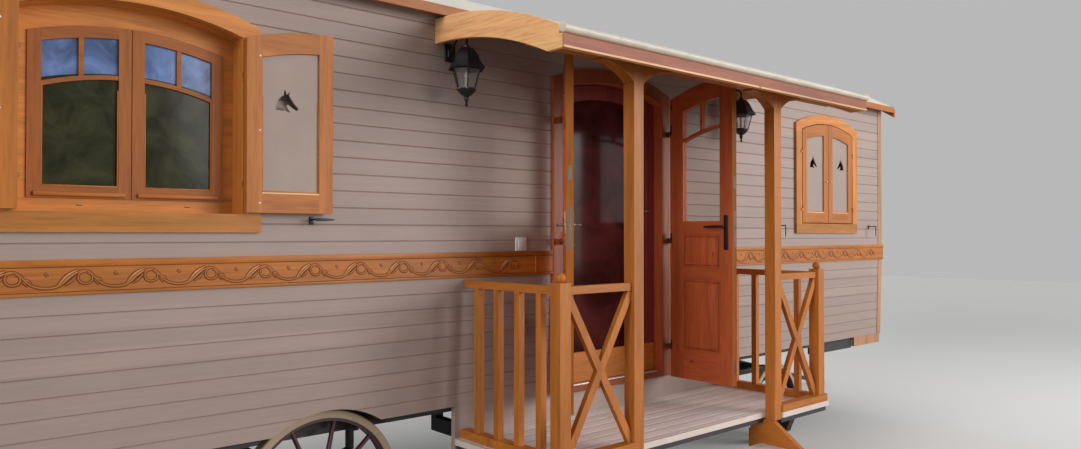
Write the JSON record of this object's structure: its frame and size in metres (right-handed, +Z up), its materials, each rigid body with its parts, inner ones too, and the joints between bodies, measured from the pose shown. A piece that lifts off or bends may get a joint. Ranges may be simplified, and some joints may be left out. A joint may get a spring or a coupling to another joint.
{
  "type": "vardo wagon",
  "caption": "wooden living wagon with a barrel roof, covered side porch with steps, shuttered windows, spoked wheels and a steered front axle with a drawbar",
  "frame": {"origin": "on the ground under the middle of the whole wagon, drawbar and steps included", "axes": "+X along the wagon towards its drawbar, -Y towards the porch, +Z up"},
  "size_m": [9.0266, 3.982, 3.49],
  "materials": {
    "chassis_steel": "dark satin paint",
    "floor_wood": "matt boards",
    "inner_boards": "matt boards",
    "painted_cladding": "satin paint on wood boards",
    "roof_membrane": "matt sheet",
    "varnished_wood": "satin varnish",
    "door_wood": "satin red-brown varnish",
    "sash_wood": "satin varnish",
    "window_glass": "clear",
    "clear_glass": "clear",
    "deck_paint": "pale painted boards",
    "cream_trim": "cream satin paint",
    "painted_panel": "satin paint",
    "black_iron": "black satin paint",
    "dark_paint": "matt dark paint",
    "maroon_paint": "maroon gloss paint on wood"
  },
  "bodies": {
    "wagon": {"chassis": "chassis_steel", "cabin_floor": "floor_wood", "wall_door_side": "inner_boards", "wall_far_side": "inner_boards", "walls_ends": "inner_boards", "cladding_door_side": "painted_cladding", "cladding_far_side": "painted_cladding", "cladding_ends": "painted_cladding", "roof": "roof_membrane", "eave_boards": "varnished_wood", "belt_rail": "varnished_wood", "corner_boards": "varnished_wood", "wheel_boxes": "dark_paint", "door_frame": "door_wood", "window_frames": "varnished_wood", "window_sashes": "sash_wood", "window_glass": "window_glass", "deck_boards": "deck_paint", "deck_frame": "varnished_wood", "deck_edge": "cream_trim", "deck_skirt": "painted_cladding", "canopy_posts": "varnished_wood", "railings": "varnished_wood", "stair_stringers": "varnished_wood", "stair_treads": "deck_paint", "canopy_roof": "roof_membrane", "canopy_boards": "varnished_wood", "gutter": "cream_trim", "lamps": "black_iron", "lamp_glass": "clear_glass", "rear_axle": "chassis_steel", "turntable_ring": "chassis_steel"},
    "inner_door": {"inner_door": "door_wood", "inner_door_glass": "window_glass"},
    "door_leaf_left": {"door_leaf_left": "door_wood", "door_leaf_left_glass": "clear_glass"},
    "door_leaf_right": {"door_leaf_right": "door_wood", "door_leaf_right_glass": "clear_glass"},
    "front_carriage": {"front_carriage": "chassis_steel", "front_axle": "chassis_steel"},
    "drawbar": {"drawbar": "chassis_steel"},
    "shutter_left_outer": {"shutter_left_outer": "varnished_wood", "shutter_left_outer_panel": "painted_panel"},
    "shutter_left_inner": {"shutter_left_inner": "varnished_wood", "shutter_left_inner_panel": "painted_panel"},
    "shutter_right_inner": {"shutter_right_inner": "varnished_wood", "shutter_right_inner_panel": "painted_panel"},
    "shutter_right_outer": {"shutter_right_outer": "varnished_wood", "shutter_right_outer_panel": "painted_panel"},
    "wheel_rear_left": {"wheel_rear_left": "maroon_paint", "wheel_rear_left_rim": "cream_trim"},
    "wheel_rear_right": {"wheel_rear_right": "maroon_paint", "wheel_rear_right_rim": "cream_trim"},
    "wheel_front_left": {"wheel_front_left": "maroon_paint", "wheel_front_left_rim": "cream_trim"},
    "wheel_front_right": {"wheel_front_right": "maroon_paint", "wheel_front_right_rim": "cream_trim"}
  },
  "joints": [
    {"name": "steer", "type": "hinge", "parent": "wagon", "child": "front_carriage", "pos_m": [1.6747, 0.639, 0.5895], "axis": [0, 0, 1], "range_deg": [-40, 40]},
    {"name": "drawbar_lift", "type": "hinge", "parent": "front_carriage", "child": "drawbar", "pos_m": [2.1947, 0.639, 0.5665], "axis": [0, -1, 0], "range_deg": [0, 15]},
    {"name": "wheel_rear_left_spin", "type": "hinge", "parent": "wagon", "child": "wheel_rear_left", "pos_m": [-2.5883, -0.481, 0.446], "axis": [0, 1, 0], "continuous": true},
    {"name": "wheel_rear_right_spin", "type": "hinge", "parent": "wagon", "child": "wheel_rear_right", "pos_m": [-2.5883, 1.759, 0.446], "axis": [0, 1, 0], "continuous": true},
    {"name": "wheel_front_left_spin", "type": "hinge", "parent": "front_carriage", "child": "wheel_front_left", "pos_m": [1.6747, -0.481, 0.34], "axis": [0, 1, 0], "continuous": true},
    {"name": "wheel_front_right_spin", "type": "hinge", "parent": "front_carriage", "child": "wheel_front_right", "pos_m": [1.6747, 1.759, 0.34], "axis": [0, 1, 0], "continuous": true},
    {"name": "door_left_swing", "type": "hinge", "parent": "wagon", "child": "door_leaf_left", "pos_m": [-1.0343, -0.684, 1.7], "axis": [0, 0, -1], "range_deg": [-131, 34]},
    {"name": "door_right_swing", "type": "hinge", "parent": "wagon", "child": "door_leaf_right", "pos_m": [0.0717, -0.684, 1.7], "axis": [0, 0, 1], "range_deg": [-90, 75]},
    {"name": "inner_door_swing", "type": "hinge", "parent": "wagon", "child": "inner_door", "pos_m": [-0.9673, -0.50252, 1.7], "axis": [0, 0, 1], "range_deg": [0, 90]},
    {"name": "shutter_left_outer_swing", "type": "hinge", "parent": "wagon", "child": "shutter_left_outer", "pos_m": [-3.9613, -0.637, 2.2], "axis": [0, 0, -1], "range_deg": [-180, 0]},
    {"name": "shutter_left_inner_swing", "type": "hinge", "parent": "wagon", "child": "shutter_left_inner", "pos_m": [-3.0613, -0.637, 2.2], "axis": [0, 0, 1], "range_deg": [-180, 0]},
    {"name": "shutter_right_inner_swing", "type": "hinge", "parent": "wagon", "child": "shutter_right_inner", "pos_m": [1.9187, -0.637, 2.2], "axis": [0, 0, -1], "range_deg": [0, 180]},
    {"name": "shutter_right_outer_swing", "type": "hinge", "parent": "wagon", "child": "shutter_right_outer", "pos_m": [2.8187, -0.637, 2.2], "axis": [0, 0, 1], "range_deg": [0, 180]}
  ]
}
